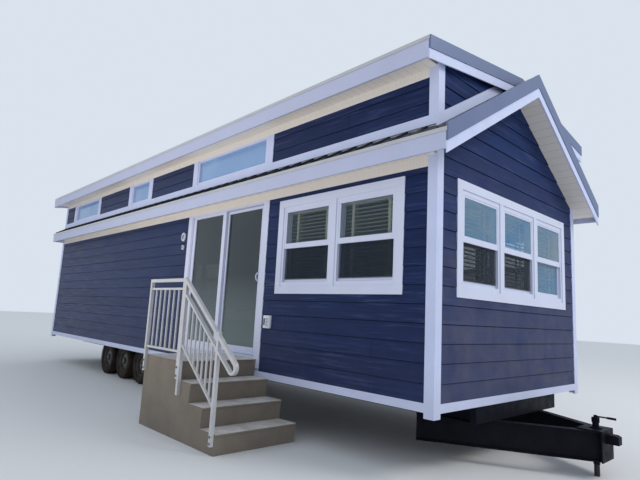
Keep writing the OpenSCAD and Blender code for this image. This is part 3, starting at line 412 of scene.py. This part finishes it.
def board_runs(low, high, left, right, top_at, foot_at, holes):
    """One course between two heights, as runs of (start, end, foot and top at each)."""
    cuts = {left, right}
    for a, b, _, _ in holes:
        cuts |= {c for c in (a, b) if left < c < right}
    rises = [lambda p: top_at(p) - low, lambda p: top_at(p) - high,
             lambda p: foot_at(p) - low, lambda p: foot_at(p) - high,
             lambda p: top_at(p) - foot_at(p)]
    for k in range(1, 200):
        a = left + (right - left) * k / 200
        b = left + (right - left) * (k - 1) / 200
        for rise in rises:
            if rise(a) * rise(b) < 0:
                cuts.add(b + (a - b) * rise(b) / (rise(b) - rise(a)))
        if (top_at(b) + top_at(2 * a - b)) / 2 < top_at(a) - tiny:
            cuts.add(a)
    cuts = sorted(cuts)
    runs, run = [], []
    for a, b in zip(cuts, cuts[1:]):
        middle = (a + b) / 2
        foot_a, foot_b = max(low, foot_at(a)), max(low, foot_at(b))
        top_a, top_b = min(high, top_at(a)), min(high, top_at(b))
        for hole_left, hole_right, sill, head in holes:
            if hole_left < middle < hole_right:
                if sill <= low and head >= high:
                    foot_a = foot_b = high + 1
                elif sill <= low < head:
                    foot_a = foot_b = head
                elif sill < high <= head:
                    top_a, top_b = min(top_a, sill), min(top_b, sill)
        if max(top_a - foot_a, top_b - foot_b) < thinnest or top_at(middle) < foot_at(middle):
            if run:
                runs.append(run)
            run = []
        else:
            run.append((a, b, foot_a, foot_b, max(top_a, foot_a), max(top_b, foot_b)))
    if run:
        runs.append(run)
    return runs


def run_outline(run):
    """The edge of a run, along its foot and back along its top, without repeated points."""
    along, back = [], []
    for a, b, foot_a, foot_b, top_a, top_b in run:
        along += [(a, foot_a), (b, foot_b)]
        back += [(a, top_a), (b, top_b)]
    outline = []
    for p in along + back[::-1]:
        if not outline or max(abs(outline[-1][0] - p[0]), abs(outline[-1][1] - p[1])) > tiny:
            outline.append(p)
    if max(abs(outline[0][0] - outline[-1][0]), abs(outline[0][1] - outline[-1][1])) < tiny:
        outline.pop()
    return outline


def lap_boards(name, left, right, foot_at, top_at, holes, to_wall, seed, start=first_course,
               coat=board_coat):
    """Lapped boards over one wall. to_wall(position, out, height) places a point on it."""
    pick = random.Random(seed)
    bm = bmesh.new()
    tone = bm.faces.layers.float.new("board")

    def sheet(outline, lift, shade):
        """A board, or a painted shadow strip, of this outline, its face lifted off the wall as the
        outline's heights say.
        """
        front = [bm.verts.new(to_wall(p, lift(z), z)) for p, z in outline]
        back = [bm.verts.new(to_wall(p, board_back, z)) for p, z in outline]
        faces = [bm.faces.new(front), bm.faces.new(back[::-1])]
        for i in range(len(outline)):
            j = (i + 1) % len(outline)
            faces.append(bm.faces.new((front[i], back[i], back[j], front[j])))
        bmesh.ops.recalc_face_normals(bm, faces=faces)
        for f in faces:
            f[tone] = shade

    low = start
    ceiling = max(top_at(left + (right - left) * k / 40) for k in range(41))
    while low < ceiling:
        top = low + course - lap_gap
        joints = []
        joint = right
        if right - left > board_l:
            joint = left - pick.random() * board_l * 0.9 + board_l
        while joint < right:
            joints.append(joint)
            joint += board_l
        stops = [left] + [j for j in joints if min(j - left, right - j) > shortest] + [right]
        for a, b in zip(stops, stops[1:]):
            near, far = a + (end_gap if a > left else 0), b - (end_gap if b < right else 0)
            shade = pick.random()
            for run in board_runs(low, top, near, far, top_at, foot_at, holes):
                for c, d, _, _, top_c, top_d in run:
                    # Over a board's top a thin near-black strip: painted shadow under the next course's
                    # lap
                    if min(top_c, top_d) > top - tiny:
                        sheet([(c, top_c), (d, top_d), (d, top_d + 2 * lap_gap),
                               (c, top_c + 2 * lap_gap)], lambda z: shadow_strip_out, shadow_strip_tone)
                outline = run_outline(run)
                if len(outline) > 2:
                    sheet(outline, lambda z: lap_out + lap_rise * (1 - (z - low) / course), shade)
        low += course
    Shape(bm).settle(name, coat, "navy_wall", smooth=20)


# The boards end under the roofs: heights of the roofs' edges and rises, of the boards' ends,
# and how far the rake boards' feet and the sloping board's top are from the roof planes
up_edge, up_pitch, low_edge, low_pitch, eave = 3.990, 0.16, 3.065, 0.62, 0.235
deck_base, frieze_z, upper_base, upper_top = 0.680, 2.840, 3.345, 3.740
gable_rake_foot, rear_rake_foot, slope_board_top, upper_rake_foot = -0.226, -0.101, 0.130, -0.162


def low_roof(y):
    return low_edge + low_pitch * (min(y, body_w - y) + eave)


def up_roof(y):
    return up_edge + up_pitch * (min(y, body_w - y) + eave)


def level(z):
    return lambda p: z


def door_side(p, out, z):
    return p, wall_face - out, z


def far_side(p, out, z):
    return p, body_w - wall_face + out, z


def front_side(p, out, z):
    return -wall_face + out, p, z


def rear_side(p, out, z):
    return -body_l + wall_face - out, p, z


def wall_box(name):
    """A node's place on the house: lowest and highest x, y and z."""
    low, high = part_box(name)
    return low - house(0, 0, 0), high - house(0, 0, 0)


window_low, window_high = wall_box("side_window")
window_hole = (window_low.x, window_high.x, window_low.z, window_high.z)
second_hole = (-body_l - window_high.x, -body_l - window_low.x, window_low.z, window_high.z)
front_low, front_high = wall_box("front_window")
front_hole = (front_low.y, front_high.y, front_low.z, front_high.z)
rear_low, rear_high = wall_box("rear_window")
rear_hole = (rear_low.y, rear_high.y, rear_low.z, rear_high.z)
door_low, door_high = wall_box("door_frame")
door_hole = (door_low.x, door_high.x, 0.0, 3.0)
rear_end, front_end, far_end = -body_l + corner_w, -corner_w, body_w - corner_w
lap_boards("siding_door_side", rear_end, front_end, level(deck_base), level(frieze_z),
           [window_hole, door_hole], door_side, 3)
lap_boards("siding_far_side", rear_end, front_end, level(deck_base), level(frieze_z),
           [window_hole, second_hole], far_side, 4)
lap_boards("siding_front", corner_w, far_end, level(deck_base),
           lambda y: low_roof(y) + gable_rake_foot, [front_hole], front_side, 5, coat=front_coat)
lap_boards("siding_rear", corner_w, far_end, level(deck_base),
           lambda y: up_roof(y) + rear_rake_foot, [rear_hole], rear_side, 6)

# The courses above the lower roofs keep the lower ones' lines
high_course, high_reach = first_course + 15 * course, 1.15
for name, left, right in (("siding_front_high_near", corner_w, high_reach),
                          ("siding_front_high_far", body_w - high_reach, far_end)):
    lap_boards(name, left, right, lambda y: low_roof(y) + slope_board_top,
               lambda y: up_roof(y) + upper_rake_foot, [], front_side, 9, start=high_course,
               coat=front_coat)
high_windows, high_post = [(-2.665, 1.800), (-6.240, 0.760), (-8.810, 1.450)], 0.140
high_holes = [(x - w - high_post, x + high_post, 3.0, 4.5) for x, w in high_windows]
for name, side, seed in (("siding_high_door_side", door_side, 7),
                         ("siding_high_far_side", far_side, 8)):
    lap_boards(name, rear_end, front_end, level(upper_base), level(upper_top), high_holes, side,
               seed, start=high_course)

# Single-hung windows with white frames: two sashes each, an insect screen over the lower one,
# and slatted blinds inside. They stand in white board casings. The front panes mirror the sky:
# a thin blue sheet in each is a painted sky reflection, the same from every side.
vinyl_coat = Coat("white_vinyl", (0.62, 0.65, 0.80), 0.35).mottle((0.56, 0.59, 0.73), 3, 0.5)
dress(vinyl_coat, "front_window", "side_window", "far_windows", "rear_window", "door_frame",
      "fixed_door_panel", "sliding_door_panel")
glass_coat = Coat("window_glass", (0.045, 0.085, 0.11), 0.04).fix("Alpha", 0.22)
dress(glass_coat.mottle((0.06, 0.10, 0.12), 1.2, 0.6), "window_glass")
sky_reflection_coat = Coat("painted_sky_reflection", (0.09, 0.36, 0.70), 0.06).fix("Alpha", 0.28)
sky_reflection_coat.mottle((0.42, 0.52, 0.56), 0.9, 0.9, detail=5, stretch=(1, 0.8, 2.2))
casing_w, mullion_w, sash_in, reflection_sheet_t = 0.090, 0.075, 0.061, 0.001
meeting_half, sash_head, sash_foot, upper_reflection_sheet, lower_reflection_sheet = 0.032, 0.071, 0.093, -0.0196, -0.0516
sill_z, sash_h = front_low.z + casing_w, front_high.z - front_low.z - 2 * casing_w
unit_w = (front_high.y - front_low.y - 2 * casing_w + mullion_w) / 3
meeting_z = sill_z + sash_h / 2
reflection_sheet = Shape()
for k in range(3):
    near = front_low.y + casing_w + k * unit_w + sash_in
    far = near + unit_w - mullion_w - 2 * sash_in
    reflection_sheet.block((upper_reflection_sheet, near, meeting_z + meeting_half),
               (upper_reflection_sheet + reflection_sheet_t, far, sill_z + sash_h - sash_head), edge=0)

# Of the lower panes only the last unit's has no screen before it, and it has the painted sky reflection
# too
reflection_sheet.block((lower_reflection_sheet, near, sill_z + sash_foot),
           (lower_reflection_sheet + reflection_sheet_t, far, meeting_z - meeting_half), edge=0)
reflection_sheet.settle("front_painted_sky_reflection", sky_reflection_coat, "clear_glass")
screen_coat = Coat("dark_insect_screen", (0.010, 0.019, 0.034), 0.8).fix("Alpha", 0.46)
dress(screen_coat, "window_screens")
blind_coat = Coat("olive_beige_blind", (0.46, 0.47, 0.38), 0.6).mottle((0.38, 0.41, 0.35), 4, 0.5)
dress(blind_coat, "window_blinds")
# The high panes are nearly opaque sky blue: a painted reflection of the sky
sky_reflection_glass_coat = Coat("clerestory_painted_sky_reflection", (0.20, 0.33, 0.60), 0.05).fix("Alpha", 0.92)
dress(sky_reflection_glass_coat.mottle((0.30, 0.48, 0.72), 0.9, 0.8), "high_glass")

# The sliding door: extruded white frames round tinted glass. The inner panel's stiles and rails
# have eased edges, and a D-shaped pull of moulded plastic is screwed to its closing stile.
panel_low, panel_high = wall_box("sliding_door_panel")
pane_low, pane_high = wall_box("sliding_door_glass")
panel_front = panel_high.y - 0.034
sash = Shape()
for left, right, foot, head in ((panel_low.x, pane_low.x, panel_low.z, panel_high.z),
                                (pane_high.x, panel_high.x, panel_low.z, panel_high.z),
                                (pane_low.x, pane_high.x, panel_low.z, pane_low.z),
                                (pane_low.x, pane_high.x, pane_high.z, panel_high.z)):
    sash.block((left, panel_front, foot), (right, panel_high.y, head), edge=0.002)
pull_x, pull_z = (pane_high.x + panel_high.x) / 2, wall_box("room_floor")[1].z + 1.016
pull_half_w, foot_half_w, foot_half_h, foot_t = 0.007, 0.010, 0.085, 0.004
bow = [math.pi * (k / 16 - 0.5) for k in range(17)]
outer, inner = [[(panel_front - out * math.cos(t), pull_z + up * math.sin(t)) for t in bow]
                for out, up in ((0.074, 0.072), (0.060, 0.056))]
sash.prism(outer + inner[::-1], "x", pull_x - pull_half_w, pull_x + pull_half_w, edge=0.003)
sash.block((pull_x - foot_half_w, panel_front - foot_t, pull_z - foot_half_h),
           (pull_x + foot_half_w, panel_front + 0.001, pull_z + foot_half_h), edge=0.002)
sash.settle("sliding_sash", vinyl_coat, "vinyl", body="door_panel", stands_for=("sliding_door_panel",))
door_glass_coat = Coat("door_glass_tint_and_reflection", (0.022, 0.034, 0.040), 0.04).fix("Alpha", 0.80)
door_glass_coat.mottle((0.036, 0.050, 0.052), 1.0, 0.8)
# Paler towards the bottom: a painted reflection of the ground
painted_reflection_below = door_glass_coat.ramp(door_glass_coat.split()[2], 1.9, 1.0, 0, 0.85)
dress(door_glass_coat.tint((0.17, 0.22, 0.22), painted_reflection_below), "fixed_door_glass", "sliding_door_glass")

# The roofs: dark ribbed steel sheet over plywood, cream vented soffits, white fascia boards
# and grey-blue folded rake trim over white rake boards.
roofing_coat = Coat("dark_ribbed_steel", (0.018, 0.022, 0.030), 0.4, metal=0.2)
roofing_coat.mottle((0.034, 0.038, 0.046), 2.5, 0.8).gloss(roofing_coat.noise(4), 0.34, 0.55)
roofing_coat.fix("Specular IOR Level", 0.15)
dress(roofing_coat, "side_roofs", "gable_roof", "main_roof")
rake_coat = Coat("grey_blue_rake_metal", (0.10, 0.135, 0.26), 0.42, metal=0.1)
dress(rake_coat.mottle((0.125, 0.165, 0.30), 1.5, 0.6), "gable_rakes", "upper_rakes")
fascia_coat = Coat("white_fascia_metal", (0.46, 0.49, 0.66), 0.45)
dress(fascia_coat.mottle((0.42, 0.44, 0.59), 2, 0.5), "fascias")
ply_coat = Coat("roof_plywood", (0.35, 0.26, 0.16), 0.7)
dress(ply_coat.mottle((0.25, 0.18, 0.11), 4, 0.8, stretch=(0.3, 2, 2)), "main_roof_deck")

# Soffit panels have a joint every so far and rows of vent slots between
soffit_panel = 0.1016
for name, axis, node in (("cream_eave_soffit", 0, "soffits"),
                         ("cream_gable_soffit", 1, "gable_overhang")):
    soffit_coat = Coat(name, (0.80, 0.755, 0.71), 0.5).mottle((0.73, 0.68, 0.63), 3, 0.5)
    soffit_coat.tint((0.50, 0.46, 0.42), soffit_coat.stripes(axis, soffit_panel, 0.055))
    vents = soffit_coat.times(soffit_coat.stripes(0, soffit_panel / 6, 0.3),
                              soffit_coat.stripes(1, soffit_panel / 5, 0.35))
    dress(soffit_coat.tint((0.68, 0.635, 0.59), vents), node)

# Folded drip edges in white steel along the eaves, over the fascias' upper edge
drip_coat = Coat("drip_edge_metal", (0.50, 0.50, 0.52), 0.35, metal=0.2)
drip_coat.mottle((0.42, 0.42, 0.43), 3, 0.6)
drip_section = [(-0.006, -0.038), (-0.003, -0.040), (-0.0005, -0.038), (-0.0005, -0.003),
                (0.03, 0.0005), (0.03, 0.003), (-0.004, 0.0005)]
for name, z, start, end in (("low_drip_edge", low_edge + 0.012, -body_l - 0.02, 0.245),
                            ("up_drip_edge", up_edge + 0.026, -body_l - 0.05, 0.050)):
    drip = Shape()
    drip.prism([(-eave + out, z + up) for out, up in drip_section], "x", start, end)
    drip.mirrored()
    drip.settle(name, drip_coat, "fascia")

# The entry steps are one moulded shell in beige-grey plastic, open below, and the rails of
# square aluminium tube are bolted to its outer side.
step_coat = Coat("beige_moulded_steps", (0.205, 0.172, 0.136), 0.75)
step_coat.mottle((0.155, 0.132, 0.108), 4, 0.8).bump(step_coat.noise(120, detail=6), 0.0012)
# Faces turned up are much lighter, in patches: painted sunlight on the treads
painted_sun_on_treads = step_coat.times(step_coat.ramp(step_coat.facing_up(), 0.6, 0.9, 0, 0.9),
                       step_coat.ramp(step_coat.noise(7, detail=6), 0.3, 0.6, 0.6, 1))
dress(step_coat.tint((0.70, 0.67, 0.65), painted_sun_on_treads), "entry_steps")
rail_coat = Coat("mill_aluminium_rail", (0.60, 0.59, 0.60), 0.42, metal=0.3)
rail_coat.mottle((0.48, 0.47, 0.48), 6, 0.7)
rail_coat.gloss(rail_coat.noise(30, detail=6, stretch=(1, 1, 0.1)), 0.34, 0.52)
dress(rail_coat, "platform_rail", "stair_rail")
bolt_coat = Coat("zinc_bolt", (0.30, 0.30, 0.31), 0.4, metal=0.8).mottle((0.16, 0.14, 0.12), 60, 0.7)
steps_high = wall_box("entry_steps")[1]
rail_low, rail_high = wall_box("platform_rail")
tube_half, washer_t, head_out = 0.019, 0.002, 0.009
bolts = Shape()
for x, heights in ((rail_low.x + tube_half, (rail_low.z + 0.035, rail_low.z + 0.125)),
                   (rail_high.x - tube_half, (rail_low.z + 0.035, rail_low.z + 0.125)),
                   (steps_high.x - 0.060 + tube_half, (0.118, 0.180))):
    for z in heights:
        bolts.rod((x, rail_low.y + 0.002, z), (x, rail_low.y - washer_t, z), 0.014)
        bolts.rod((x, rail_low.y + 0.002, z), (x, rail_low.y - head_out, z), 0.009, around=6)
bolts.settle("rail_bolts", bolt_coat, "rail_metal")

# Small fittings by the door, moulded in white plastic: an oval light, a smaller bell below it
# with a face of the same kind, and an outlet box with a slotted cover and a louvred flap.
fitting_coat = Coat("white_moulded_fitting", (0.72, 0.74, 0.80), 0.3).mottle((0.64, 0.66, 0.72), 8, 0.4)
lens_coat = Coat("smoked_lamp_lens", (0.16, 0.19, 0.27), 0.15).mottle((0.24, 0.28, 0.38), 30, 0.7)
# Near black: painted shade for the outlet's openings
shade_coat = Coat("painted_opening_shade", (0.012, 0.014, 0.020), 0.7).mottle((0.02, 0.022, 0.03), 40, 0.6)
ring_section = [(0.044, 0.0), (0.070, 0.0), (0.070, -0.030), (0.064, -0.038), (0.053, -0.040),
                (0.047, -0.034), (0.044, -0.026)]
lens_section = [(0.0, -0.002), (0.0445, -0.002), (0.0445, -0.028), (0.034, -0.039),
                (0.018, -0.045), (0.0, -0.047)]
lights_x, oval = -4.734, 0.8
rings, lenses = Shape(), Shape()
for part, section in ((rings, ring_section), (lenses, lens_section)):
    for x, z, size in ((-4.736, 2.530, 1.0), (-4.728, 2.360, 0.56)):
        part.lathe([(r * size, d) for r, d in section], (x, wall_face, z), around=40)
    for v in part.bm.verts:
        v.co.x = lights_x + (v.co.x - lights_x) * oval
rings.settle("porch_light_rings", fitting_coat, "fitting", stands_for=("wall_lights",))
lenses.settle("porch_light_lenses", lens_coat, "fitting")

louvre_pitch = 0.0165
cover = Shape()
cover.block((-2.465, -0.024, 1.206), (-2.337, wall_face, 1.362), edge=0.012, steps=3)
cover.block((-2.412, -0.030, 1.218), (-2.348, -0.020, 1.350), edge=0.003, steps=2)
for k in range(7):
    z = 1.228 + louvre_pitch * k
    cover.block((-2.404, -0.034, z), (-2.356, -0.028, z + 0.008))
cover.settle("outlet_cover", fitting_coat, "fitting", stands_for=("outlet_box",))
slot_x, slot_z, slot_r, slot_half = -2.4375, 1.284, 0.0125, 0.030
slot_outline = []
for k in range(24):
    t = 2 * math.pi * (k + 0.5) / 24
    end = slot_half if math.sin(t) > 0 else -slot_half
    slot_outline.append((slot_x + slot_r * math.cos(t), slot_z + end + slot_r * math.sin(t)))
# The slot and the gaps between the louvres are near-black pieces: painted shade in the openings
outlet_slot = Shape()
outlet_slot.prism(slot_outline, "y", -0.0255, -0.020)
for k in range(6):
    z = 1.2375 + louvre_pitch * k
    outlet_slot.block((-2.402, -0.0315, z), (-2.358, -0.0285, z + 0.0055), edge=0)
outlet_slot.settle("outlet_slots", shade_coat, "fitting")

# A plain pale floor with soft studio light, near to what the photograph's open shade gives. Two
# wide lamps on the floor give back what pale sunlit ground throws up under the eaves.
reach = 60
floor_mesh = bpy.data.meshes.new("studio_floor")
floor_mesh.from_pydata([(-reach, -reach, 0), (reach, -reach, 0), (reach, reach, 0), (-reach, reach, 0)],
                       [], [(0, 1, 2, 3)])
studio_floor = bpy.data.objects.new("studio_floor", floor_mesh)
bpy.context.scene.collection.objects.link(studio_floor)
floor_mesh.materials.append(Coat("studio_floor_paint", (0.72, 0.72, 0.72), 0.9).material)

world = bpy.data.worlds.new("studio")
bpy.context.scene.world = world
world.use_nodes = True
sky = world.node_tree.nodes["Background"]
sky.inputs["Color"].default_value = (0.82, 0.90, 1.0, 1)
sky.inputs["Strength"].default_value = 0.85


def soft_lamp(name, place, aim, size, power, colour):
    light = bpy.data.lights.new(name, "AREA")
    light.shape, light.size, light.energy, light.color = "DISK", size, power, colour
    lamp = bpy.data.objects.new(name, light)
    lamp.location = place
    lamp.rotation_mode = "QUATERNION"
    lamp.rotation_quaternion = (Vector(aim) - Vector(place)).to_track_quat("-Z", "Y")
    bpy.context.scene.collection.objects.link(lamp)
    return lamp


soft_lamp("key", (14, 4, 12), (0, 0, 2), 6, 800, (1, 0.97, 0.93))
for name, y in (("door_side_bounce", -7.5), ("far_side_bounce", 7.5)):
    bounce = soft_lamp(name, (0.5, y, 0.05), (0.5, y, 5), 7, 380, (1, 0.92, 0.82))
    bounce.visible_camera, bounce.visible_glossy = False, False

bpy.context.scene.view_settings.view_transform = "Standard"
